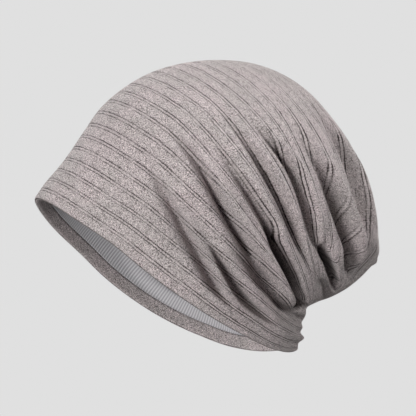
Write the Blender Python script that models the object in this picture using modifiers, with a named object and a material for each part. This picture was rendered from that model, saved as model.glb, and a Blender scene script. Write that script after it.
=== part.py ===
"""A thin slouchy beanie, worn shape: a ribbed jersey shell with a turned hem and a smooth lining."""
import math

import bmesh
import bpy
import numpy as np

# Named sizes in metres
rim_length = 0.200
rim_width = 0.146
crown_height = 0.154
crown_width = 0.162
ear_drop = 0.0184
shell_wall = 0.0013
lining_wall = 0.0010
layer_gap = 0.0003
hem_height = 0.0090
rib_pitch = 0.0088
rib_groove = 0.0004
lining_clearance = 0.0012
fold_clearance = 0.0015
nub_height = 0.0030
nub_radius = 0.0050
fold_depth = 0.0095
fold_width = 0.0046

# Radius of the hem's turn, with room inside it for the ribs' relief
turn = shell_wall + 0.5 * (layer_gap + rib_groove)

# Counts of the faces round the cloth and along it
columns = 44
lining_rows = 12
turn_rows = 4

# Where the first rib lies over the rim, as a share of the rib pitch
first_rib = 0.8

# Inward folds grow and outward gathers grow between these heights over the rim, shares of hem_height
fold_free_hem = (1.2, 2.0)
gather_free_hem = (0.3, 0.8)

# Where the lining stands off for the folds: degrees round from the front, and rings where it closes in again
stand_off_grows = (40, 80)
stand_off_fades = (150, 178)
stand_off_closes = (0.62, 0.92)

# Heights of the lining's lowest rows over its edge, as shares of hem_height
LINING_FOOT = (0.0, 0.17, 0.55, 1.0)

# Front line of the crown from the rim up to the seam, shares of rim_length and crown_height
FRONT_LINE = (
    ("back", "up"),
    (0.0000, 0.000),
    (0.0035, 0.064),
    (0.0215, 0.197),
    (0.0310, 0.344),
    (0.0415, 0.482),
    (0.0780, 0.614),
    (0.1340, 0.732),
    (0.2090, 0.831),
    (0.2960, 0.912),
    (0.3930, 0.973),
    (0.4990, 1.001),
    (0.5800, 0.996),
)

# Closing seam from the top of the crown over the bag to its underside, same shares
SEAM_LINE = (
    ("back", "up"),
    (0.5800, 0.996),
    (0.6580, 0.970),
    (0.7535, 0.916),
    (0.8475, 0.852),
    (0.9355, 0.771),
    (1.0140, 0.675),
    (1.0575, 0.597),
    (1.0900, 0.532),
    (1.0810, 0.444),
    (1.0560, 0.344),
)

# Line down the nape: share of the rings at the point, then the same shares
NAPE_LINE = (
    ("ring", "back", "up"),
    (0.000, 1.0000, 0.000),
    (0.125, 0.9780, 0.044),
    (0.280, 0.9590, 0.095),
    (0.480, 0.9495, 0.147),
    (0.700, 0.9810, 0.219),
    (0.850, 1.0130, 0.265),
    (1.000, 1.0560, 0.344),
)

# Saddle of the rim: share of rim_length from the front, share of ear_drop
RIM_LINE = (
    ("back", "drop"),
    (0.000, 0.00),
    (0.125, 0.28),
    (0.250, 0.49),
    (0.375, 0.77),
    (0.500, 0.94),
    (0.625, 1.00),
    (0.750, 0.93),
    (0.875, 0.73),
    (0.950, 0.41),
    (1.000, 0.00),
)

# The rings are widest from this ring on, close towards the seam by this power,
# and hold their height by this power before they fall to the nape
swell_ring = 0.35
closing_power = 3.0
nape_pull = 2.6

# Shares of the rings kept from the seam and from the rim where the way of the cloth is measured
seam_share = 0.01
rim_side = 0.02

# Folds gathered to the nape. Side 1 is the left of the head, -1 the right and 0 both; the ring shares are
# those at 60, 90, 120 and 150 degrees round from the front; the angles are where the fold starts, is
# deepest and ends; depth and width are shares of fold_depth and fold_width, and a depth below zero stands out.
FOLDS = (
    ("side", "at_60", "at_90", "at_120", "at_150", "starts", "deepest", "ends", "depth", "width"),
    (1, 0.10, 0.085, 0.075, 0.16, 80, 125, 172, 0.32, 0.70),
    (1, 0.215, 0.135, 0.130, 0.26, 48, 105, 168, 0.63, 0.91),
    (1, 0.335, 0.295, 0.285, 0.36, 52, 110, 170, 0.58, 0.91),
    (1, 0.410, 0.385, 0.370, 0.42, 66, 118, 166, 1.00, 0.96),
    (1, 0.550, 0.565, 0.555, 0.68, 62, 112, 160, 0.95, 1.04),
    (1, 0.660, 0.675, 0.680, 0.76, 74, 108, 150, 0.47, 1.09),
    (1, 0.820, 0.820, 0.810, 0.85, 70, 96, 128, 0.32, 1.09),
    (-1, 0.150, 0.105, 0.100, 0.18, 62, 118, 170, 0.44, 0.83),
    (-1, 0.260, 0.200, 0.185, 0.30, 50, 108, 168, 0.61, 0.91),
    (-1, 0.370, 0.330, 0.325, 0.39, 58, 112, 168, 0.63, 0.91),
    (-1, 0.470, 0.455, 0.450, 0.52, 64, 116, 164, 0.95, 1.00),
    (-1, 0.610, 0.620, 0.625, 0.72, 66, 110, 158, 0.79, 1.04),
    (-1, 0.760, 0.765, 0.770, 0.80, 76, 102, 140, 0.37, 1.09),
    (0, 0.090, 0.090, 0.095, 0.13, 122, 180, 300, -0.46, 0.57),
    (0, 0.190, 0.190, 0.200, 0.24, 128, 180, 300, -0.25, 0.52),
    (0, 0.330, 0.330, 0.345, 0.38, 130, 180, 300, -0.21, 0.61),
)
FOLD_ANGLES = (60, 90, 120, 150)


def table(rows, *names):
    """Columns of a table by their names."""
    head = rows[0]
    return [np.array([row[head.index(name)] for row in rows[1:]], dtype=float) for name in names]


def smooth_line(points):
    """Points close together on a smooth line through the given ones, and how far along each lies."""
    chord = np.linalg.norm(np.diff(points, axis=0), axis=1)
    at = np.concatenate(([0.0], np.cumsum(chord)))
    slope = np.gradient(points, at, axis=0)
    fine = np.linspace(0.0, at[-1], 600)
    piece = np.clip(np.searchsorted(at, fine, side="right") - 1, 0, len(at) - 2)
    span = (at[piece + 1] - at[piece])[:, None]
    t = (fine - at[piece])[:, None] / span
    line = (
        (2 * t**3 - 3 * t**2 + 1) * points[piece]
        + (t**3 - 2 * t**2 + t) * span * slope[piece]
        + (3 * t**2 - 2 * t**3) * points[piece + 1]
        + (t**3 - t**2) * span * slope[piece + 1]
    )
    length = np.concatenate(([0.0], np.cumsum(np.linalg.norm(np.diff(line, axis=0), axis=1))))
    return line, length, at


def ramp(value, start, end):
    """Smooth rise from 0 to 1 between two values."""
    t = np.clip((value - start) / (end - start), 0.0, 1.0)
    return t * t * (3.0 - 2.0 * t)


def side_points(rows):
    """A table's points as distances back from the front of the rim and up."""
    back, up = table(rows, "back", "up")
    return np.stack([back * rim_length, up * crown_height], axis=-1)


def follow(line, length, share):
    """Points at a share of a line's length."""
    where = np.asarray(share) * length[-1]
    return np.stack([np.interp(where, length, line[:, axis]) for axis in range(2)], axis=-1)


front_fine, front_length, _ = smooth_line(side_points(FRONT_LINE))
seam_fine, seam_length, _ = smooth_line(side_points(SEAM_LINE))
nape_fine, nape_length, nape_at = smooth_line(side_points(NAPE_LINE))
rim_back, rim_fall = table(RIM_LINE, "back", "drop")
rim_fine, _, _ = smooth_line(np.stack([rim_back * rim_length, -rim_fall * ear_drop], axis=-1))
ring_count = round(front_length[-1] / rib_pitch)


def nape(ring):
    """Point of the nape line that a ring reaches."""
    rings, = table(NAPE_LINE, "ring")
    shares = np.linspace(0.0, 1.0, 201)
    where = np.interp(shares, rings, nape_at / nape_at[-1])
    padded = np.pad(where, 12, mode="reflect", reflect_type="odd")
    weight = np.hanning(25) / np.hanning(25).sum()
    eased = np.convolve(padded, weight, mode="valid")
    return follow(nape_fine, nape_length, np.interp(ring, shares, eased))


def half_width(ring):
    """Half the width of a ring."""
    swell = np.sin(0.5 * math.pi * np.clip(ring / swell_ring, 0.0, 1.0))
    widest = 0.5 * (rim_width + (crown_width - rim_width) * swell)
    return widest * np.sqrt(np.clip(1.0 - ring**closing_power, 0.0, 1.0))


def smooth_form(ring, angle):
    """Points of the cloth without folds: ring 0 at the rim, 1 at the seam; angle 0 at the front."""
    ring, angle = np.broadcast_arrays(np.asarray(ring, float), np.asarray(angle, float))
    turned = 0.5 * (1.0 - np.cos(angle))
    front, back = follow(front_fine, front_length, ring), nape(ring)
    seam = follow(seam_fine, seam_length, turned)
    rim_at = turned * rim_length
    rim = np.stack([rim_at, np.interp(rim_at, rim_fine[:, 0], rim_fine[:, 1])], axis=-1)
    across = []
    for axis, share in ((0, turned), (1, turned**nape_pull)):
        level = (1 - share) * front[..., axis] + share * back[..., axis]
        for edge, line, weight in ((rim, rim_fine, 1 - ring), (seam, seam_fine, ring)):
            straight = (1 - share) * line[0, axis] + share * line[-1, axis]
            level = level + weight * (edge[..., axis] - straight)
        across.append(level)
    return np.stack([half_width(ring) * np.sin(angle), across[0] - 0.5 * rim_length, across[1]], axis=-1)


def directions(form, ring, angle):
    """Outward normals of a form, the way up the cloth and the length of cloth per ring share."""
    step = 1e-4
    near = np.clip(ring, 0.0, 1.0 - seam_share)
    up = (form(near + step, angle) - form(np.clip(near - step, 0.0, 1.0), angle))
    up = up / (near + step - np.clip(near - step, 0.0, 1.0))[..., None]
    round_it = (form(near, angle + step) - form(near, angle - step)) / (2 * step)
    normal = np.cross(round_it, up)
    normal[..., 0] *= np.clip((1.0 - ring) / seam_share, 0.0, 1.0)
    normal = normal / np.linalg.norm(normal, axis=-1, keepdims=True)
    spacing = np.linalg.norm(up, axis=-1)
    return normal, up / spacing[..., None], spacing


def degrees_round(angle):
    """Degrees round from the front on either side."""
    return np.degrees(np.abs(np.remainder(angle + math.pi, 2 * math.pi) - math.pi))


def rim_spacing(angle):
    """Length of cloth per ring share just above the rim."""
    return directions(smooth_form, np.full(len(angle), rim_side), angle)[2]


def fold_relief(ring, angle, spacing):
    """How far the folds and the nape's gathers stand out of the smooth form."""
    turned = degrees_round(angle)
    side = np.sign(np.sin(angle))
    relief = np.zeros_like(ring)
    for which, *rings, starts, deepest, ends, depth, width in FOLDS[1:]:
        centre = np.interp(turned, FOLD_ANGLES, rings)
        grown = ramp(turned, starts, deepest) * (1.0 - ramp(turned, deepest, ends))
        valley = np.exp(-(((ring - centre) * spacing / (width * fold_width)) ** 2))
        there = 1.0 if which == 0 else (side == which)
        relief = relief - there * depth * fold_depth * grown * valley
    height = ring * spacing / hem_height
    return np.minimum(relief, 0.0) * ramp(height, *fold_free_hem) + np.maximum(relief, 0.0) * ramp(
        height, *gather_free_hem
    )


def cloth_form(ring, angle):
    """Points of the outer cloth with its folds and the nub at the bag's tip."""
    ring, angle = np.broadcast_arrays(np.asarray(ring, float), np.asarray(angle, float))
    normal, _, spacing = directions(smooth_form, ring, angle)
    point = smooth_form(ring, angle)
    tip_back, tip_up = seam_fine[np.argmax(seam_fine[:, 0])]
    tip = np.array([0.0, tip_back - 0.5 * rim_length, tip_up])
    away = np.linalg.norm(point - tip, axis=-1)
    relief = fold_relief(ring, angle, spacing) + nub_height * np.exp(-((away / nub_radius) ** 2))
    return point + normal * relief[..., None]


def cloth_sheet(name, across, along, place):
    """A grid wrapped round the head and closed along the seam; place gives its points row by row."""
    bpy.ops.mesh.primitive_grid_add(x_subdivisions=across, y_subdivisions=along, size=2)
    sheet = bpy.context.object
    sheet.name = name
    sheet.data.name = name
    flat = np.empty(len(sheet.data.vertices) * 3)
    sheet.data.vertices.foreach_get("co", flat)
    flat = flat.reshape(-1, 3)
    column = np.rint((flat[:, 0] + 1) * 0.5 * across).astype(int)
    row = np.rint((flat[:, 1] + 1) * 0.5 * along).astype(int)
    points = place(row, 2 * math.pi * (column % across) / across)
    sheet.data.vertices.foreach_set("co", points.ravel())
    mesh = bmesh.new()
    mesh.from_mesh(sheet.data)
    bmesh.ops.remove_doubles(mesh, verts=mesh.verts, dist=1e-6)
    bmesh.ops.recalc_face_normals(mesh, faces=mesh.faces)
    mesh.normal_update()
    if max(mesh.verts, key=lambda vert: vert.co.z).normal.z < 0.0:
        bmesh.ops.reverse_faces(mesh, faces=mesh.faces)
    mesh.to_mesh(sheet.data)
    mesh.free()
    sheet.data.polygons.foreach_set("use_smooth", [True] * len(sheet.data.polygons))
    return sheet


def thicken(sheet, wall):
    """Give the sheet its wall on the side of the head."""
    solid = sheet.modifiers.new("wall", "SOLIDIFY")
    solid.thickness = wall
    solid.offset = -1.0
    solid.use_even_offset = True
    bpy.context.view_layer.objects.active = sheet
    bpy.ops.object.modifier_apply(modifier=solid.name)


def crown_rows():
    """Rows of the outer cloth from the hem's raw edge, round its turn and up to the seam."""
    hem = [("hem", height) for height in np.linspace(hem_height, turn, 3)]
    curl = [("turn", math.pi * (1 - step / turn_rows)) for step in range(1, turn_rows)]
    ribs = np.arange(first_rib, ring_count) / ring_count
    panels = ribs + 0.5 / ring_count
    rings = np.sort(np.concatenate((ribs, panels[panels < 1.0], [1.0])))
    return hem + curl + [("edge", 0.0)] + [("rib" if ring in ribs else "panel", ring) for ring in rings]


def crown_place(row, angle):
    """Points of the outer cloth's grid."""
    rows = crown_rows()
    kind = np.array([name for name, _ in rows])[row]
    value = np.array([number for _, number in rows])[row]
    outside = np.isin(kind, ("rib", "panel"))
    height = np.where(kind == "hem", value, turn)
    ring = np.where(outside, value, height / rim_spacing(angle))
    normal, up, _ = directions(smooth_form, ring, angle)
    inset = np.where(kind == "hem", 2 * turn, 0.0) + np.where(kind == "turn", turn * (1 - np.cos(value)), 0.0)
    drop = np.where(kind == "turn", turn * np.sin(value), 0.0)
    turned_in = smooth_form(ring, angle) - normal * inset[:, None] - up * drop[:, None]
    cloth_normal, _, _ = directions(cloth_form, ring, angle)
    _, _, spacing = directions(smooth_form, ring, angle)
    groove = rib_groove * (kind == "rib") * np.minimum(1.0, spacing / (ring_count * rib_pitch))
    ribbed = cloth_form(ring, angle) - cloth_normal * groove[:, None]
    return np.where(outside[:, None], ribbed, turned_in)


def lining_place(row, angle):
    """Points of the lining's grid, smooth and clear of the folds of the outer cloth."""
    spacing = rim_spacing(angle)
    low_rows = len(LINING_FOOT)
    foot = hem_height * (1.0 + np.array(LINING_FOOT)[np.minimum(row, low_rows - 1)])
    foot = (foot + layer_gap) / spacing
    share = np.clip((row - low_rows + 1) / (lining_rows - low_rows + 1), 0.0, 1.0)
    ring = foot + (1.0 - foot) * share
    normal, _, _ = directions(smooth_form, ring, angle)
    turned = degrees_round(angle)
    depths, = table(FOLDS, "depth")
    near_folds = ramp(turned, *stand_off_grows) * (1.0 - ramp(turned, *stand_off_fades))
    above_edge = (ring * spacing - layer_gap) / hem_height - 1.0
    near_folds = near_folds * ramp(above_edge, LINING_FOOT[1], LINING_FOOT[-1])
    near_folds = near_folds * (1.0 - ramp(ring, *stand_off_closes))
    inset = shell_wall + lining_clearance + (depths.max() * fold_depth + fold_clearance) * near_folds
    return smooth_form(ring, angle) - normal * inset[:, None]


def cloth_material(name, colour, roughness):
    """A plain cloth material."""
    material = bpy.data.materials.new(name)
    material.use_nodes = True
    shader = material.node_tree.nodes["Principled BSDF"]
    shader.inputs["Base Color"].default_value = (*colour, 1.0)
    shader.inputs["Roughness"].default_value = roughness
    return material


def build():
    """Make the beanie's two pieces."""
    for thing in list(bpy.data.objects):
        bpy.data.objects.remove(thing, do_unlink=True)
    home = bpy.data.collections.new("beanie")
    bpy.context.scene.collection.children.link(home)
    crown = cloth_sheet("crown", columns, len(crown_rows()) - 1, crown_place)
    thicken(crown, shell_wall)
    lining = cloth_sheet("lining", columns, lining_rows, lining_place)
    thicken(lining, lining_wall)
    crown.data.materials.append(cloth_material("ribbed_jersey", (0.32, 0.27, 0.26), 0.9))
    lining.data.materials.append(cloth_material("lining_jersey", (0.45, 0.44, 0.45), 0.85))
    for piece in (crown, lining):
        for old in list(piece.users_collection):
            old.objects.unlink(piece)
        home.objects.link(piece)


build()
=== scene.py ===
"""A thin slouchy beanie: ribbed outer jersey gathered at the nape, turned hem and fine lining."""

import math

import bmesh
import bpy
import numpy as np
from mathutils import Matrix, Vector


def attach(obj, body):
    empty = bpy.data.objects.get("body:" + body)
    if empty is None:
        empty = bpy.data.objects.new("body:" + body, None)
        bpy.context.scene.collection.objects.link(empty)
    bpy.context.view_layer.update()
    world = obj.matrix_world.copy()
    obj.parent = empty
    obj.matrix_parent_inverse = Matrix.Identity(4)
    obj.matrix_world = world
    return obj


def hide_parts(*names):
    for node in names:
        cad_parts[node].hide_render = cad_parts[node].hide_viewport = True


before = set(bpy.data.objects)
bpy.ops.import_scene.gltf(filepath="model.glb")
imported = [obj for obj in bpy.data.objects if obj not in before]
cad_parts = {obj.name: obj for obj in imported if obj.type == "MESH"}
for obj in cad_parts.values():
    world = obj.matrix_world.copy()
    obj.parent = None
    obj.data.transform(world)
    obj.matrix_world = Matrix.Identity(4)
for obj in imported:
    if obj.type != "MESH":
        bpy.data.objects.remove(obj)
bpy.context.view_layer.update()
bpy.ops.object.select_all(action="DESELECT")

# Sizes of the hat in metres
rim_length = 0.200
rim_width = 0.146
crown_height = 0.154
crown_width = 0.162
ear_drop = 0.0184
shell_wall = 0.0013
lining_wall = 0.0010
hem_gap = 0.0003
hem_height = 0.0090
rib_pitch = 0.0088
nub_height = 0.0030
nub_radius = 0.0042
fold_depth = 0.0095
fold_width = 0.0046

# Radius of the hem's turn
turn = shell_wall + hem_gap

# Relief of the rib: a bead between two grooves, whose place and half width are shares of the rib pitch
groove_depth = 0.00020
groove_off = 0.10
groove_half = 0.07

# Where the first rib lies over the rim, as a share of the rib pitch
first_rib = 0.8

# Rows of cloth over one rib pitch, as shares of the pitch from the rib's middle
RIB_ROWS = (-0.17, -0.10, 0.0, 0.10, 0.17, 0.34, 0.50, 0.66)

# The rest of the outer cloth's grid: columns round the head, rows up the hem and steps round its turn
cloth_columns = 200
hem_rows = 6
turn_steps = 8

# Room kept free of rows above the rim and below the seam, in rib pitches
rim_room = 0.32
seam_room = 0.05

# Places of the hem's raw edge and of the rim on the cloth's map, as ring shares
hem_on_map = (-0.041, 0.007)

# Rounds of averaging that ease the inner face of a wall over tight folds
easing_rounds = 10

# The lining: its grid, how its rows crowd to the rim, its room in the cloth and what its folds are wider by
lining_columns = 240
lining_rows = 132
lining_crowding = 1.3
lining_clearance = 0.0012
lining_looseness = 0.0028

# Front line of the crown from the rim up to the seam, shares of rim_length and crown_height
FRONT_LINE = (
    ("back", "up"),
    (0.0000, 0.000),
    (0.0035, 0.064),
    (0.0215, 0.197),
    (0.0310, 0.344),
    (0.0415, 0.482),
    (0.0780, 0.614),
    (0.1340, 0.732),
    (0.2090, 0.831),
    (0.2960, 0.912),
    (0.3930, 0.973),
    (0.4990, 1.001),
    (0.5800, 0.996),
)

# Closing seam from the top of the crown over the bag to its underside, same shares
SEAM_LINE = (
    ("back", "up"),
    (0.5800, 0.996),
    (0.6580, 0.970),
    (0.7535, 0.916),
    (0.8475, 0.852),
    (0.9355, 0.771),
    (1.0140, 0.675),
    (1.0575, 0.597),
    (1.0900, 0.532),
    (1.0810, 0.444),
    (1.0560, 0.344),
)

# Line down the nape: share of the rings at the point, then the same shares
NAPE_LINE = (
    ("ring", "back", "up"),
    (0.000, 1.0000, 0.000),
    (0.125, 0.9780, 0.044),
    (0.280, 0.9590, 0.095),
    (0.480, 0.9495, 0.147),
    (0.700, 0.9810, 0.219),
    (0.850, 1.0130, 0.265),
    (1.000, 1.0560, 0.344),
)

# Saddle of the rim: share of rim_length from the front, share of ear_drop
RIM_LINE = (
    ("back", "drop"),
    (0.000, 0.00),
    (0.125, 0.28),
    (0.250, 0.49),
    (0.375, 0.77),
    (0.500, 0.94),
    (0.625, 1.00),
    (0.750, 0.93),
    (0.875, 0.73),
    (0.950, 0.41),
    (1.000, 0.00),
)

# The rings are widest from this ring on, close towards the seam by this power,
# and hold their height by this power before they fall to the nape
swell_ring = 0.35
closing_power = 3.0
nape_pull = 2.6

# Last ring before the seam, and the ring just above the rim, where the way of the cloth is measured
seam_side = 0.99
rim_side = 0.02

# Points of the smoothed nape line, and how many on either side are averaged
nape_points = 201
nape_reach = 12

# Degrees round from the front at which the tables of ribs and folds give ring shares
TURNS = np.arange(50, 171, 20)

# How the ribs drift towards the nape. The first column counts them up the front line, as shares of its
# length, and runs past 1 at the seam, where the last ribs close in. The others are the ring shares that
# they pass at those degrees.
RIBS = (
    ("front", "at_50", "at_70", "at_90", "at_110", "at_130", "at_150", "at_170"),
    (0.000, 0.000, 0.000, 0.000, 0.000, 0.000, 0.000, 0.000),
    (0.032, 0.031, 0.034, 0.037, 0.031, 0.027, 0.027, 0.027),
    (0.112, 0.105, 0.114, 0.123, 0.122, 0.130, 0.150, 0.160),
    (0.192, 0.187, 0.190, 0.188, 0.203, 0.222, 0.262, 0.280),
    (0.272, 0.270, 0.268, 0.278, 0.289, 0.310, 0.345, 0.360),
    (0.352, 0.360, 0.352, 0.340, 0.337, 0.355, 0.400, 0.420),
    (0.392, 0.402, 0.385, 0.380, 0.376, 0.390, 0.435, 0.455),
    (0.472, 0.481, 0.467, 0.455, 0.440, 0.437, 0.485, 0.510),
    (0.552, 0.558, 0.547, 0.532, 0.507, 0.495, 0.540, 0.565),
    (0.592, 0.600, 0.597, 0.582, 0.550, 0.525, 0.565, 0.590),
    (0.672, 0.680, 0.668, 0.633, 0.600, 0.575, 0.615, 0.640),
    (0.752, 0.765, 0.755, 0.735, 0.690, 0.655, 0.670, 0.680),
    (0.832, 0.840, 0.845, 0.840, 0.802, 0.765, 0.765, 0.740),
    (0.912, 0.920, 0.920, 0.910, 0.893, 0.870, 0.860, 0.800),
    (0.952, 0.953, 0.954, 0.950, 0.938, 0.922, 0.915, 0.867),
    (0.992, 0.980, 0.981, 0.979, 0.975, 0.967, 0.964, 0.930),
    (1.032, 0.995, 0.996, 0.996, 0.995, 0.994, 0.992, 0.980),
    (1.056, 1.000, 1.000, 1.000, 1.000, 1.000, 1.000, 1.000),
)

# Folds gathered to the nape. Side 1 is the left of the head, -1 the right and 0 both. A fold's ring shares
# are followed by the degrees where it starts, is deepest, fades and ends. Depth and width are shares of
# fold_depth and fold_width, and a depth below zero stands out. The lip is the ridge above the fold, as a
# share of its depth, and the hood is how far that ridge leans over the fold, as a share of fold_depth.
FOLDS = (
    ("side", "at_50", "at_70", "at_90", "at_110", "at_130", "at_150", "at_170",
     "starts", "deepest", "fades", "ends", "depth", "width", "lip", "hood"),
    (1, 0.252, 0.196, 0.136, 0.062, -0.015, -0.100, -0.170, 46, 78, 98, 126, 1.15, 0.74, 0.65, 0.10),
    (1, 0.200, 0.190, 0.178, 0.140, 0.118, 0.110, 0.110, 80, 102, 114, 150, 1.00, 0.72, 0.45, 0.00),
    (1, 0.240, 0.240, 0.240, 0.236, 0.240, 0.285, 0.340, 86, 118, 138, 166, 1.00, 0.95, 0.30, 0.00),
    (1, 0.368, 0.344, 0.300, 0.275, 0.278, 0.295, 0.320, 44, 88, 112, 134, 1.45, 0.76, 0.55, 0.15),
    (1, 0.415, 0.415, 0.406, 0.384, 0.370, 0.420, 0.490, 62, 94, 104, 136, 0.95, 0.72, 0.45, 0.10),
    (1, 0.405, 0.405, 0.405, 0.390, 0.384, 0.412, 0.480, 100, 110, 146, 157, 2.40, 0.80, 0.15, 0.45),
    (1, 0.505, 0.508, 0.494, 0.475, 0.462, 0.460, 0.460, 52, 92, 106, 132, 0.90, 0.62, 0.50, 0.00),
    (1, 0.560, 0.571, 0.588, 0.560, 0.545, 0.540, 0.540, 58, 96, 108, 132, 1.10, 0.70, 0.42, 0.05),
    (1, 0.520, 0.520, 0.520, 0.530, 0.622, 0.755, 0.845, 119, 128, 140, 160, 2.40, 0.74, 0.20, 0.45),
    (1, 0.670, 0.686, 0.702, 0.726, 0.785, 0.880, 0.950, 62, 114, 130, 154, 1.30, 1.25, 0.40, 0.10),
    (1, 0.840, 0.855, 0.875, 0.865, 0.880, 0.920, 0.980, 54, 92, 106, 128, 1.00, 1.60, 0.20, 0.00),
    (1, 0.860, 0.860, 0.860, 0.860, 0.880, 0.900, 0.920, 118, 132, 142, 158, 0.45, 2.20, 0.00, 0.00),
    (1, 0.450, 0.450, 0.450, 0.450, 0.480, 0.650, 0.790, 130, 148, 152, 176, 0.35, 0.80, 0.20, 0.00),
    (-1, 0.170, 0.140, 0.105, 0.100, 0.120, 0.180, 0.220, 62, 118, 118, 170, 0.80, 0.60, 0.30, 0.00),
    (-1, 0.280, 0.240, 0.200, 0.188, 0.220, 0.300, 0.350, 50, 108, 108, 168, 1.00, 0.65, 0.30, 0.00),
    (-1, 0.380, 0.355, 0.330, 0.325, 0.345, 0.390, 0.420, 58, 112, 112, 172, 1.10, 0.70, 0.30, 0.00),
    (-1, 0.475, 0.465, 0.455, 0.450, 0.470, 0.520, 0.560, 64, 116, 116, 174, 1.50, 0.70, 0.25, 0.00),
    (-1, 0.600, 0.612, 0.620, 0.623, 0.655, 0.720, 0.760, 62, 110, 110, 165, 1.30, 0.75, 0.25, 0.00),
    (-1, 0.758, 0.762, 0.765, 0.768, 0.780, 0.800, 0.820, 66, 102, 102, 150, 0.80, 0.85, 0.25, 0.00),
    (0, 0.090, 0.090, 0.090, 0.092, 0.105, 0.130, 0.130, 122, 180, 180, 300, -0.46, 0.57, 0.0, 0.00),
    (0, 0.190, 0.190, 0.190, 0.195, 0.213, 0.240, 0.240, 128, 180, 180, 300, -0.25, 0.52, 0.0, 0.00),
    (0, 0.330, 0.330, 0.330, 0.340, 0.355, 0.380, 0.380, 130, 180, 180, 300, -0.21, 0.61, 0.0, 0.00),
)

# Across a fold, in its widths: where its valley and its lip lie, how wide the lip is, and how wide the
# valley's lower side is
valley_at = -0.2
lip_at = 1.5
lip_width = 0.8
slack_side = 1.3

# Inward folds grow and outward gathers grow between these heights over the rim, shares of hem_height
fold_free_hem = (1.2, 2.0)
gather_free_hem = (0.3, 0.8)


def table(rows, *names):
    """Columns of a table by their names."""
    head = rows[0]
    return [np.array([row[head.index(name)] for row in rows[1:]], dtype=float) for name in names]


def smooth_line(points):
    """Points close together on a smooth line through the given ones, and how far along each lies."""
    chord = np.linalg.norm(np.diff(points, axis=0), axis=1)
    at = np.concatenate(([0.0], np.cumsum(chord)))
    slope = np.gradient(points, at, axis=0)
    fine = np.linspace(0.0, at[-1], 2000)
    piece = np.clip(np.searchsorted(at, fine, side="right") - 1, 0, len(at) - 2)
    span = (at[piece + 1] - at[piece])[:, None]
    t = (fine - at[piece])[:, None] / span
    line = (
        (2 * t**3 - 3 * t**2 + 1) * points[piece]
        + (t**3 - 2 * t**2 + t) * span * slope[piece]
        + (3 * t**2 - 2 * t**3) * points[piece + 1]
        + (t**3 - t**2) * span * slope[piece + 1]
    )
    length = np.concatenate(([0.0], np.cumsum(np.linalg.norm(np.diff(line, axis=0), axis=1))))
    return line, length, at


def ramp(value, start, end):
    """Smooth rise from 0 to 1 between two values."""
    t = np.clip((value - start) / (end - start), 0.0, 1.0)
    return t * t * (3.0 - 2.0 * t)


def smooth_between(where, knots, values):
    """A smooth line through values at even knots, level beyond its ends."""
    where = np.clip(where, knots[0], knots[-1])
    slope = np.gradient(values, knots)
    piece = np.clip(np.searchsorted(knots, where, side="right") - 1, 0, len(knots) - 2)
    span = knots[piece + 1] - knots[piece]
    t = (where - knots[piece]) / span
    return (
        (2 * t**3 - 3 * t**2 + 1) * values[piece]
        + (t**3 - 2 * t**2 + t) * span * slope[piece]
        + (3 * t**2 - 2 * t**3) * values[piece + 1]
        + (t**3 - t**2) * span * slope[piece + 1]
    )


def side_points(rows):
    """A table's points as distances back from the front of the rim and up."""
    back, up = table(rows, "back", "up")
    return np.stack([back * rim_length, up * crown_height], axis=-1)


def follow(line, length, share):
    """Points at a share of a line's length."""
    where = np.asarray(share) * length[-1]
    return np.stack([np.interp(where, length, line[:, axis]) for axis in range(2)], axis=-1)


front_fine, front_length, _ = smooth_line(side_points(FRONT_LINE))
seam_fine, seam_length, _ = smooth_line(side_points(SEAM_LINE))
nape_fine, nape_length, nape_at = smooth_line(side_points(NAPE_LINE))
rim_back, rim_fall = table(RIM_LINE, "back", "drop")
rim_fine, _, _ = smooth_line(np.stack([rim_back * rim_length, -rim_fall * ear_drop], axis=-1))
cloth_length = front_length[-1]
ring_count = round(cloth_length / rib_pitch)


def nape(ring):
    """Point of the nape line that a ring reaches."""
    rings, = table(NAPE_LINE, "ring")
    shares = np.linspace(0.0, 1.0, nape_points)
    where = np.interp(shares, rings, nape_at / nape_at[-1])
    padded = np.pad(where, nape_reach, mode="reflect", reflect_type="odd")
    weight = np.hanning(2 * nape_reach + 1)
    weight = weight / weight.sum()
    eased = np.convolve(padded, weight, mode="valid")
    return follow(nape_fine, nape_length, np.interp(ring, shares, eased))


def half_width(ring):
    """Half the width of a ring."""
    swell = np.sin(0.5 * math.pi * np.clip(ring / swell_ring, 0.0, 1.0))
    widest = 0.5 * (rim_width + (crown_width - rim_width) * swell)
    return widest * np.sqrt(np.clip(1.0 - ring**closing_power, 0.0, 1.0))


def smooth_form(ring, angle):
    """Points of the cloth without folds: ring 0 at the rim, 1 at the seam; angle 0 at the front."""
    ring, angle = np.broadcast_arrays(np.asarray(ring, float), np.asarray(angle, float))
    turned = 0.5 * (1.0 - np.cos(angle))
    front, back = follow(front_fine, front_length, ring), nape(ring)
    seam = follow(seam_fine, seam_length, turned)
    rim_at = turned * rim_length
    rim = np.stack([rim_at, np.interp(rim_at, rim_fine[:, 0], rim_fine[:, 1])], axis=-1)
    across = []
    for axis, share in ((0, turned), (1, turned**nape_pull)):
        level = (1 - share) * front[..., axis] + share * back[..., axis]
        for edge, line, weight in ((rim, rim_fine, 1 - ring), (seam, seam_fine, ring)):
            straight = (1 - share) * line[0, axis] + share * line[-1, axis]
            level = level + weight * (edge[..., axis] - straight)
        across.append(level)
    return np.stack([half_width(ring) * np.sin(angle), across[0] - 0.5 * rim_length, across[1]], axis=-1)


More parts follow.
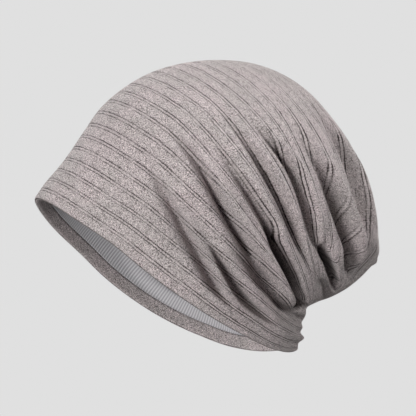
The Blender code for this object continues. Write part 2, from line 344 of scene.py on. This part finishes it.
def directions(form, ring, angle):
    """Outward normals of a form, the way up the cloth and the length of cloth per ring share."""
    step = 1e-4
    near = np.clip(ring, 0.0, seam_side)
    up = form(near + step, angle) - form(np.clip(near - step, 0.0, 1.0), angle)
    up = up / (near + step - np.clip(near - step, 0.0, 1.0))[..., None]
    round_it = (form(near, angle + step) - form(near, angle - step)) / (2 * step)
    normal = np.cross(round_it, up)
    normal[..., 0] *= np.clip((1.0 - ring) / (1.0 - seam_side), 0.0, 1.0)
    normal = normal / np.linalg.norm(normal, axis=-1, keepdims=True)
    spacing = np.linalg.norm(up, axis=-1)
    return normal, up / spacing[..., None], spacing


def degrees_round(angle):
    """Degrees round from the front on either side."""
    return np.degrees(np.abs(np.remainder(angle + math.pi, 2 * math.pi) - math.pi))


def rim_spacing(angle):
    """Length of cloth per ring share just above the rim."""
    return directions(smooth_form, np.full(len(angle), rim_side), angle)[2]


def fold_moves(ring, angle, spacing, looser=0.0):
    """How far the folds and the nape's gathers stand out of the smooth form, and how far their ridges lean
    down the cloth; looser widens and lengthens the folds, and leaves out their ridges and the gathers."""
    turned = degrees_round(angle)
    side = np.sign(np.sin(angle))
    slack = math.degrees(2.0 * looser / crown_width)
    relief = np.zeros_like(ring)
    lean = np.zeros_like(ring)
    for which, *rings, starts, deepest, fades, ends, depth, width, lip, hood in FOLDS[1:]:
        centre = smooth_between(turned, TURNS, np.array(rings))
        there = 1.0 if which == 0 else (side == which)
        there = there * (looser == 0.0 or depth > 0.0)
        grown = ramp(turned + slack, starts, deepest) * (1.0 - ramp(turned - slack, fades, ends))
        beside = (ring - centre) * spacing / (width * (0.5 + 0.5 * grown) * fold_width + looser)
        below = beside - valley_at * (lip > 0.0)
        valley = np.exp(-((below / np.where(below < 0.0, slack_side, 1.0)) ** 2))
        ridge = np.exp(-(((beside - lip_at) / lip_width) ** 2)) * (looser == 0.0)
        relief = relief - there * depth * fold_depth * grown * (valley - lip * grown * ridge)
        lean = lean + there * hood * fold_depth * grown ** 2 * ridge
    height = (ring * spacing + 0.5 * looser) / hem_height
    inward = np.minimum(relief, 0.0) * ramp(height, *fold_free_hem)
    return inward + np.maximum(relief, 0.0) * ramp(height, *gather_free_hem), lean


def rib_ring(front, angle):
    """Ring share at which the cloth that starts at a share of the front line lies at an angle."""
    turned = degrees_round(angle)
    starts = np.array([row[0] for row in RIBS[1:]])
    levels = np.stack([smooth_between(turned, TURNS, np.array(row[1:])) for row in RIBS[1:]])
    piece = np.clip(np.searchsorted(starts, front, side="right") - 1, 0, len(starts) - 2)
    share = (front - starts[piece]) / (starts[piece + 1] - starts[piece])
    points = np.arange(len(turned))
    return levels[piece, points] * (1.0 - share) + levels[piece + 1, points] * share


def cloth_form(ring, angle):
    """Points of the outer cloth with its folds and the nub at the bag's tip."""
    ring, angle = np.broadcast_arrays(np.asarray(ring, float), np.asarray(angle, float))
    normal, up, spacing = directions(smooth_form, ring, angle)
    point = smooth_form(ring, angle)
    tip_back, tip_up = seam_fine[np.argmax(seam_fine[:, 0])]
    tip = np.array([0.0, tip_back - 0.5 * rim_length, tip_up])
    away = np.linalg.norm(point - tip, axis=-1)
    relief, lean = fold_moves(ring, angle, spacing)
    relief = relief + nub_height * np.exp(-((away / nub_radius) ** 2))
    return point + normal * relief[..., None] - up * lean[..., None]


def rib_relief(front):
    """Height of the ribs' grooves, below zero."""
    beside = np.remainder(front * ring_count - first_rib + 0.5, 1.0) - 0.5
    groove = np.clip(1.0 - np.abs(np.abs(beside) - groove_off) / groove_half, 0.0, 1.0)
    return -groove_depth * groove


def cloth_sheet(name, across, rows, place, rings):
    """A grid wrapped round the head and closed along the seam, with the cloth's own map on it."""
    bpy.ops.mesh.primitive_grid_add(x_subdivisions=across, y_subdivisions=rows - 1, size=2)
    sheet = bpy.context.object
    sheet.name = name
    sheet.data.name = name
    mesh = sheet.data
    flat = np.empty(len(mesh.vertices) * 3)
    mesh.vertices.foreach_get("co", flat)
    flat = flat.reshape(-1, 3)
    column = np.rint((flat[:, 0] + 1) * 0.5 * across).astype(int)
    row = np.rint((flat[:, 1] + 1) * 0.5 * (rows - 1)).astype(int)
    points = place(row, 2 * math.pi * (column % across) / across)
    mesh.vertices.foreach_set("co", points.ravel())
    corner = np.empty(len(mesh.loops), dtype=np.int32)
    mesh.loops.foreach_get("vertex_index", corner)
    layer = mesh.uv_layers.active or mesh.uv_layers.new(name="cloth")
    uv = np.stack([column[corner] / across, rings[row[corner]]], axis=-1)
    layer.data.foreach_set("uv", uv.ravel())
    work = bmesh.new()
    work.from_mesh(mesh)
    bmesh.ops.remove_doubles(work, verts=work.verts, dist=1e-6)
    bmesh.ops.recalc_face_normals(work, faces=work.faces)
    work.normal_update()
    if max(work.verts, key=lambda vert: vert.co.z).normal.z < 0.0:
        bmesh.ops.reverse_faces(work, faces=work.faces)
    work.to_mesh(mesh)
    work.free()
    bpy.ops.object.shade_smooth()
    return sheet


def averaged(vectors, ends):
    """Vectors at a mesh's points, averaged a few times with those at the other ends of the edges there."""
    count = len(vectors)
    here, there = np.concatenate((ends, ends[:, ::-1])).T
    near = np.bincount(here, minlength=count)[:, None] + 1.0
    for _ in range(easing_rounds):
        drawn = [np.bincount(here, weights=vectors[there, axis], minlength=count) for axis in range(3)]
        vectors = (vectors + np.stack(drawn, axis=-1)) / near
    return vectors


def thicken(sheet, wall):
    """Give the sheet its wall on the side of the head, with the inner face eased over tight folds."""
    count = len(sheet.data.vertices)
    solid = sheet.modifiers.new("wall", "SOLIDIFY")
    solid.thickness = wall
    solid.offset = -1.0
    bpy.context.view_layer.objects.active = sheet
    bpy.ops.object.modifier_apply(modifier=solid.name)
    mesh = sheet.data
    flat = np.empty(len(mesh.vertices) * 3)
    mesh.vertices.foreach_get("co", flat)
    points = flat.reshape(-1, 3)
    ends = np.empty(len(mesh.edges) * 2, dtype=np.int32)
    mesh.edges.foreach_get("vertices", ends)
    ends = ends.reshape(-1, 2)
    outer_ends = ends[(ends < count).all(axis=1)]
    inward = averaged(points[count:] - points[:count], outer_ends)
    inward = inward / np.linalg.norm(inward, axis=-1, keepdims=True)
    points[count:] = points[:count] + inward * wall
    mesh.vertices.foreach_set("co", points.ravel())
    mesh.update()


def cloth_rows():
    """Rows of the outer cloth from the hem's raw edge, round its turn and up to the seam."""
    hem = [("hem", height) for height in np.linspace(hem_height, turn, hem_rows)]
    curl = [("turn", math.pi * (1 - step / turn_steps)) for step in range(1, turn_steps)]
    seam = RIBS[-1][0]
    ribs = np.arange(-1, ring_count + 3)[:, None] + first_rib + np.array(RIB_ROWS)[None, :]
    rings = np.sort(ribs.ravel()) / ring_count
    rings = rings[(rings > rim_room / ring_count) & (rings < seam - seam_room / ring_count)]
    return hem + curl + [("edge", 0.0)] + [("outer", ring) for ring in rings] + [("outer", seam)]


def cloth_place(row, angle):
    """Points of the outer cloth's grid."""
    rows = cloth_rows()
    kind = np.array([name for name, _ in rows])[row]
    value = np.array([number for _, number in rows])[row]
    outside = kind == "outer"
    height = np.where(kind == "hem", value, turn)
    front = np.where(outside, value, 0.0)
    edge = height / rim_spacing(angle)
    ring = np.where(outside, np.hypot(rib_ring(front, angle), edge), edge)
    normal, up, spacing = directions(smooth_form, ring, angle)
    inset = np.where(kind == "hem", 2 * turn, 0.0)
    inset = inset + np.where(kind == "turn", turn * (1 - np.cos(value)), 0.0)
    drop = np.where(kind == "turn", turn * np.sin(value), 0.0)
    turned_in = smooth_form(ring, angle) - normal * inset[:, None] - up * drop[:, None]
    cloth_normal, _, _ = directions(cloth_form, ring, angle)
    ease = np.minimum(1.0, spacing / cloth_length)
    ribbed = cloth_form(ring, angle) + cloth_normal * (rib_relief(front) * ease)[:, None]
    return np.where(outside[:, None], ribbed, turned_in)


def make_cloth():
    """The outer jersey with its turned hem."""
    rows = cloth_rows()
    rings = np.array([number if kind == "outer" else 0.0 for kind, number in rows])
    hem = [index for index, (kind, _) in enumerate(rows) if kind != "outer"]
    rings[hem] = np.linspace(*hem_on_map, len(hem))
    sheet = cloth_sheet("outer_jersey", cloth_columns, len(rows), cloth_place, rings)
    thicken(sheet, shell_wall)
    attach(sheet, "root")
    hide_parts("crown")
    return sheet


def lining_rings(row, angle):
    """Rings of the lining's rows, from its edge over the hem to the seam."""
    foot = (hem_height + hem_gap) / rim_spacing(angle)
    return foot + (1.0 - foot) * (row / (lining_rows - 1)) ** lining_crowding


def lining_place(row, angle):
    """Points of the lining's grid, which follows the outer cloth's folds loosely."""
    ring = lining_rings(row, angle)
    normal, _, spacing = directions(smooth_form, ring, angle)
    folds = np.minimum(fold_moves(ring, angle, spacing, lining_looseness)[0], 0.0)
    inset = shell_wall + lining_clearance - folds
    return smooth_form(ring, angle) - normal * inset[:, None]


def make_lining():
    """The fine jersey lining inside."""
    rings = np.linspace(0.0, 1.0, lining_rows)
    sheet = cloth_sheet("fine_lining", lining_columns, lining_rows, lining_place, rings)
    thicken(sheet, lining_wall)
    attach(sheet, "root")
    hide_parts("lining")
    return sheet


class Finish:
    """A cloth finish built node by node."""

    def __init__(self, name):
        self.material = bpy.data.materials.new(name)
        self.material.use_nodes = True
        self.tree = self.material.node_tree
        self.shader = self.tree.nodes["Principled BSDF"]

    def node(self, kind, **settings):
        """A node with its settings and inputs; an input given a socket is linked to it."""
        made = self.tree.nodes.new(kind)
        for key, value in settings.items():
            if key in made.inputs:
                self.feed(made.inputs[key], value)
            else:
                setattr(made, key, value)
        return made

    def feed(self, socket, value):
        """Link a socket to an input, or set the input's value."""
        if isinstance(value, bpy.types.NodeSocket):
            self.tree.links.new(value, socket)
        else:
            socket.default_value = value

    def math(self, operation, first, second=0.0, third=0.0):
        """The result of a sum on up to three values."""
        made = self.tree.nodes.new("ShaderNodeMath")
        made.operation = operation
        for socket, value in zip(made.inputs, (first, second, third)):
            self.feed(socket, value)
        return made.outputs[0]

    def mix(self, factor, first, second, blend="MIX"):
        """A mix of two colours."""
        made = self.tree.nodes.new("ShaderNodeMix")
        made.data_type = "RGBA"
        made.blend_type = blend
        self.feed(made.inputs["Factor"], factor)
        self.feed(made.inputs["A"], first)
        self.feed(made.inputs["B"], second)
        return made.outputs["Result"]

    def noise(self, vector, scale, detail=2.0, roughness=0.5):
        """A noise's value."""
        made = self.tree.nodes.new("ShaderNodeTexNoise")
        made.inputs["Scale"].default_value = scale
        made.inputs["Detail"].default_value = detail
        made.inputs["Roughness"].default_value = roughness
        self.tree.links.new(vector, made.inputs["Vector"])
        return made.outputs["Fac"]

    def shifted(self, vector, by):
        """Coordinates moved aside, for a noise of its own."""
        made = self.tree.nodes.new("ShaderNodeVectorMath")
        made.operation = "ADD"
        self.tree.links.new(vector, made.inputs[0])
        made.inputs[1].default_value = (by, by, by)
        return made.outputs[0]

    def line(self, value, middle, core, reach):
        """A line where a value passes its middle, with soft edges."""
        away = self.math("ABSOLUTE", self.math("SUBTRACT", value, middle))
        return self.math("SUBTRACT", 1.0, self.remap(away, core, reach))

    def remap(self, value, low, high, to_low=0.0, to_high=1.0):
        """A value carried from one range to another, smoothly and clamped."""
        made = self.tree.nodes.new("ShaderNodeMapRange")
        made.interpolation_type = "SMOOTHSTEP"
        for socket, number in zip(made.inputs, (value, low, high, to_low, to_high)):
            self.feed(socket, number)
        return made.outputs[0]


# Tones of the jersey, what its grain darkens and lightens them by, and tones of its pits, of the ribs' two
# dark threads and of their pale bead; the lower thread's tone also darkens the seam and paints shade round
# the rim
JERSEY_TONES = ((0.525, 0.460, 0.460, 1.0), (0.475, 0.430, 0.422, 1.0))
GRAIN_SHADES = ((0.28, 0.26, 0.26, 1.0), (2.00, 2.02, 2.02, 1.0))
PIT_TONE = (0.085, 0.065, 0.065, 1.0)
UPPER_THREAD_TONE = (0.050, 0.036, 0.036, 1.0)
LOWER_THREAD_AND_RIM_SHADE_TONE = (0.060, 0.046, 0.046, 1.0)
BEAD_TONE = (0.66, 0.60, 0.59, 1.0)

# Tones of the lining's wales and of the speckle over them
WALE_TONES = ((0.35, 0.34, 0.355, 1.0), (0.59, 0.57, 0.59, 1.0))
SPECKLE_TONE = (0.47, 0.46, 0.47, 1.0)

# How fine the speckles are, in noise cells to a metre: clouds of tone, grain, pits, wear and the lining's
cloud_cells = 38.0
grain_cells = 2300.0
pit_cells = 1600.0
wear_cells = 120.0
lining_cells = 1200.0

# How the ribs' threads wander: cells to a metre of the slow and the ragged part, and by what share of a
# rib pitch
slow_cells = 90.0
ragged_cells = 700.0
wander_share = 0.09

# Stitches and wales once round the head
jersey_stitches = 320.0
lining_wales = 300.0

# A dark thread's place beside the rib's middle, and the core and reach of a thread and of the bead, all in
# rib pitches
thread_off = 0.105
thread_core_reach = (0.018, 0.060)
bead_core_reach = (0.020, 0.085)

# The strength of grain, threads and bead over the hat: from and to in metres, and the strength at each
GRAIN_UP = (0.090, 0.150, 1.0, 0.44)
THREADS_UP = (0.110, 0.150, 0.85, 0.45)
THREADS_BACK = (-0.010, 0.040, 0.0, 0.55)
THREADS_ON_BAG = (0.060, 0.090, 1.0, 0.62)
BEAD_BACK = (-0.030, 0.030, 0.7, 1.3)

# The calm patch where the bag is taut: back and up as above, and its middle, core and reach in rings
CALM_BACK = (0.035, 0.065, 0.0, 0.70)
CALM_UP = (0.066, 0.092)
CALM_RINGS = (0.79, 0.045, 0.080)

# Dark lines: the seam's middle, core and reach in metres and the rings it starts at, and painted shade
# round the hem's turn at the rim: its middle, core and reach in rings
SEAM_ACROSS = (0.0, 0.0004, 0.0011)
SEAM_RINGS = (1.035, 1.045)
RIM_SHADE_RINGS = (-0.004, 0.002, 0.006)


def cloth_map(cloth):
    """The object's coordinates in a finish, and the cloth's map: round the head and up from the rim."""
    place = cloth.node("ShaderNodeTexCoord").outputs["Object"]
    uv = cloth.node("ShaderNodeSeparateXYZ", Vector=cloth.node("ShaderNodeUVMap").outputs["UV"])
    return place, uv.outputs["X"], uv.outputs["Y"]


def jersey_ground(cloth, place, high):
    """The jersey's mottled tone with its grain and pits, and the height of their relief."""
    cloud = cloth.remap(cloth.noise(place, cloud_cells, 3.0, 0.5), 0.35, 0.65)
    grain = cloth.remap(cloth.noise(place, grain_cells, 2.0, 0.8), 0.37, 0.63)
    pits = cloth.remap(cloth.noise(cloth.shifted(place, 3.7), pit_cells, 1.0, 0.5), 0.45, 0.37)
    tone = cloth.mix(cloud, *JERSEY_TONES)
    shade = cloth.mix(grain, *GRAIN_SHADES)
    tone = cloth.mix(cloth.remap(high, *GRAIN_UP), tone, shade, "MULTIPLY")
    tone = cloth.mix(cloth.math("MULTIPLY", pits, 0.85), tone, PIT_TONE)
    return tone, cloth.math("MULTIPLY_ADD", pits, -0.7, grain)


def beside_rib(cloth, place, up):
    """How far a point lies from the middle of its rib, in rib pitches, on a line that wanders a little."""
    slow = cloth.noise(place, slow_cells, 2.0, 0.5)
    slow = cloth.math("MULTIPLY_ADD", slow, wander_share, -0.5 * wander_share)
    ragged = cloth.noise(cloth.shifted(place, 5.3), ragged_cells, 1.0, 0.5)
    ragged = cloth.math("MULTIPLY_ADD", ragged, wander_share, -0.5 * wander_share)
    rib = cloth.math("MULTIPLY_ADD", up, float(ring_count), cloth.math("ADD", slow, ragged))
    return cloth.math("SUBTRACT", cloth.math("FRACT", cloth.math("ADD", rib, 0.5 - first_rib + 8.0)), 0.5)


def thread_strength(cloth, back, high, up, dots):
    """How strong the ribs' dark threads are: dotted, faint on top, and calm where the bag is taut."""
    strong = cloth.math("ADD", cloth.remap(high, *THREADS_UP), cloth.remap(back, *THREADS_BACK))
    strong = cloth.math("MULTIPLY", strong, cloth.remap(back, *THREADS_ON_BAG))
    calm = cloth.math("MULTIPLY", cloth.remap(back, *CALM_BACK), cloth.remap(high, *CALM_UP))
    calm = cloth.math("MULTIPLY", calm, cloth.line(up, *CALM_RINGS))
    strong = cloth.math("MULTIPLY", strong, cloth.math("SUBTRACT", 1.0, calm))
    return cloth.math("MULTIPLY", strong, cloth.math("MULTIPLY_ADD", dots, -0.45, 1.20))


def jersey_finish():
    """Taupe crepe jersey: grainy, pitted panels, ribs of two fine dark threads and a pale bead, a dark
    seam, and a painted shade line round the rim.
    """
    cloth = Finish("ribbed_jersey_cloth")
    place, round_it, up = cloth_map(cloth)
    where = cloth.node("ShaderNodeSeparateXYZ", Vector=place)
    across, back, high = where.outputs["X"], where.outputs["Y"], where.outputs["Z"]
    tone, relief = jersey_ground(cloth, place, high)

    beside = beside_rib(cloth, place, up)
    stitches = cloth.math("SINE", cloth.math("MULTIPLY", round_it, 2 * math.pi * jersey_stitches))
    dots = cloth.remap(stitches, -0.9, 0.9)
    worn = cloth.remap(cloth.noise(cloth.shifted(place, 9.1), wear_cells, 2.0, 0.5), 0.38, 0.62)
    strong = thread_strength(cloth, back, high, up, dots)
    for off, least, dark in ((thread_off, 0.55, UPPER_THREAD_TONE), (-thread_off, 0.40, LOWER_THREAD_AND_RIM_SHADE_TONE)):
        thread = cloth.line(beside, off, *thread_core_reach)
        darker = cloth.math("MULTIPLY", thread, cloth.math("MULTIPLY_ADD", worn, 0.60, least))
        darker = cloth.math("MINIMUM", cloth.math("MULTIPLY", darker, strong), 1.0)
        tone = cloth.mix(darker, tone, dark)
    bead = cloth.line(beside, 0.0, *bead_core_reach)
    paler = cloth.math("MULTIPLY", bead, cloth.math("MULTIPLY_ADD", dots, 0.60, 0.05))
    paler = cloth.math("MULTIPLY", paler, cloth.remap(back, *BEAD_BACK))
    tone = cloth.mix(paler, tone, BEAD_TONE)

    seam = cloth.math("MULTIPLY", cloth.line(across, *SEAM_ACROSS), cloth.remap(up, *SEAM_RINGS))
    tone = cloth.mix(cloth.math("MULTIPLY", seam, 0.8), tone, LOWER_THREAD_AND_RIM_SHADE_TONE)
    # Painted shade: a dark line round the hem's turn at the rim, where the cloth curls under away from the
    # light
    rim = cloth.math("MULTIPLY", cloth.line(up, *RIM_SHADE_RINGS), 0.6)
    tone = cloth.mix(rim, tone, LOWER_THREAD_AND_RIM_SHADE_TONE)

    cloth.feed(cloth.shader.inputs["Base Color"], tone)
    bump = cloth.node("ShaderNodeBump", Height=relief, Strength=0.55, Distance=0.0004)
    cloth.feed(cloth.shader.inputs["Normal"], bump.outputs["Normal"])
    cloth.shader.inputs["Roughness"].default_value = 0.92
    cloth.shader.inputs["Sheen Weight"].default_value = 0.06
    cloth.shader.inputs["Sheen Roughness"].default_value = 0.5
    cloth.shader.inputs["Specular IOR Level"].default_value = 0.2
    return cloth.material


def lining_finish():
    """Pale grey jersey with fine wales that run up from the rim."""
    cloth = Finish("fine_lining_cloth")
    place, round_it, _ = cloth_map(cloth)
    wale = cloth.math("SINE", cloth.math("MULTIPLY", round_it, 2 * math.pi * lining_wales))
    speckle = cloth.noise(place, lining_cells, 2.0, 0.6)
    tone = cloth.mix(cloth.remap(wale, -0.8, 0.8), *WALE_TONES)
    tone = cloth.mix(cloth.remap(speckle, 0.35, 0.65, 0.0, 0.25), tone, SPECKLE_TONE)
    cloth.feed(cloth.shader.inputs["Base Color"], tone)
    height = cloth.math("MULTIPLY_ADD", wale, 0.5, cloth.math("MULTIPLY", speckle, 0.4))
    bump = cloth.node("ShaderNodeBump", Height=height, Strength=0.5, Distance=0.0005)
    cloth.feed(cloth.shader.inputs["Normal"], bump.outputs["Normal"])
    cloth.shader.inputs["Roughness"].default_value = 0.85
    cloth.shader.inputs["Sheen Weight"].default_value = 0.15
    return cloth.material


def plain_finish(name, colour, roughness):
    """A plain matt finish for the floor."""
    plain = Finish(name)
    plain.shader.inputs["Base Color"].default_value = (*colour, 1.0)
    plain.shader.inputs["Roughness"].default_value = roughness
    return plain.material


# The view: degrees turned to the front from the left side, degrees up, and lean of the picture
view_turn = math.radians(10.0)
view_rise = math.radians(-10.6)
view_lean = math.radians(28.85)
view_distance = 1.2
picture_width = 0.275
floor_level = -1.20
floor_size = 3.0
sensor_width = 36.0
seen_point = Vector((0.0, 0.005, 0.065))
seen_right = -0.00826
seen_up = -0.00958

# Brightness of the room as it lights the hat and as it is seen behind it
room_light = 0.04
room_seen = 0.745

# Lamps by degrees off the line to the camera and degrees round it from the picture's right
LAMPS = (
    ("name", "off", "round", "power"),
    ("top_lamp", 66, 90, 10.5),
    ("front_lamp", 30, 180, 17.5),
    ("right_lamp", 75, 20, 10.6),
    ("back_lamp", 100, 60, 12.5),
    ("far_lamp", 145, 130, 14.0),
)
lamp_distance = 1.6
lamp_size = 0.6


def view_axes():
    """The picture's right, its up and the way back to the camera."""
    across = math.cos(view_rise) * math.cos(view_turn)
    ahead = math.cos(view_rise) * math.sin(view_turn)
    back = Vector((across, -ahead, math.sin(view_rise)))
    level = (-back).cross(Vector((0.0, 0.0, 1.0))).normalized()
    upright = level.cross(-back)
    right = level * math.cos(view_lean) + upright * math.sin(view_lean)
    up = -level * math.sin(view_lean) + upright * math.cos(view_lean)
    return right, up, back


def view_direction(off, round_it):
    """A direction from the hat, by degrees off the line to the camera and round it."""
    right, up, back = view_axes()
    off, round_it = math.radians(off), math.radians(round_it)
    return back * math.cos(off) + (right * math.cos(round_it) + up * math.sin(round_it)) * math.sin(off)


def set_camera():
    """The camera, with the hat where the view has it."""
    right, up, back = view_axes()
    place = seen_point + back * view_distance
    aim = seen_point + right * seen_right + up * seen_up
    back = (place - aim).normalized()
    right = (right - back * right.dot(back)).normalized()
    up = back.cross(right)
    bpy.ops.object.camera_add()
    camera = bpy.context.object
    camera.name = "camera"
    turned = Matrix((right, up, back)).transposed().to_4x4()
    camera.matrix_world = Matrix.Translation(place) @ turned
    camera.data.sensor_width = sensor_width
    camera.data.lens = sensor_width * view_distance / picture_width
    bpy.context.scene.camera = camera


def soft_light(name, toward, power):
    """A large soft lamp that looks at the hat from a direction."""
    place = seen_point + toward.normalized() * lamp_distance
    bpy.ops.object.light_add(type="AREA", location=place)
    lamp = bpy.context.object
    lamp.name = name
    lamp.data.shape = "DISK"
    lamp.data.size = lamp_size
    lamp.data.energy = power
    lamp.rotation_euler = (seen_point - place).to_track_quat("-Z", "Y").to_euler()


def set_studio():
    """The floor, the pale surround and the lamps."""
    bpy.ops.mesh.primitive_plane_add(size=floor_size, location=(0.0, 0.0, floor_level))
    floor = bpy.context.object
    floor.name = "floor"
    floor.data.materials.append(plain_finish("floor_paper", (0.80, 0.80, 0.80), 0.9))
    world = bpy.data.worlds.new("surround")
    world.use_nodes = True
    nodes, links = world.node_tree.nodes, world.node_tree.links
    nodes.clear()
    output = nodes.new("ShaderNodeOutputWorld")
    choice = nodes.new("ShaderNodeMixShader")
    rays = nodes.new("ShaderNodeLightPath")
    for slot_index, shade in ((1, room_light), (2, room_seen)):
        backdrop = nodes.new("ShaderNodeBackground")
        backdrop.inputs["Color"].default_value = (shade, shade, shade, 1.0)
        links.new(backdrop.outputs[0], choice.inputs[slot_index])
    links.new(rays.outputs["Is Camera Ray"], choice.inputs[0])
    links.new(choice.outputs[0], output.inputs["Surface"])
    bpy.context.scene.world = world
    bpy.context.scene.view_settings.view_transform = "Standard"
    for name, off, round_it, power in LAMPS[1:]:
        soft_light(name, view_direction(off, round_it), power)


jersey = make_cloth()
jersey.data.materials.clear()
jersey.data.materials.append(jersey_finish())
lining = make_lining()
lining.data.materials.clear()
lining.data.materials.append(lining_finish())
set_camera()
set_studio()
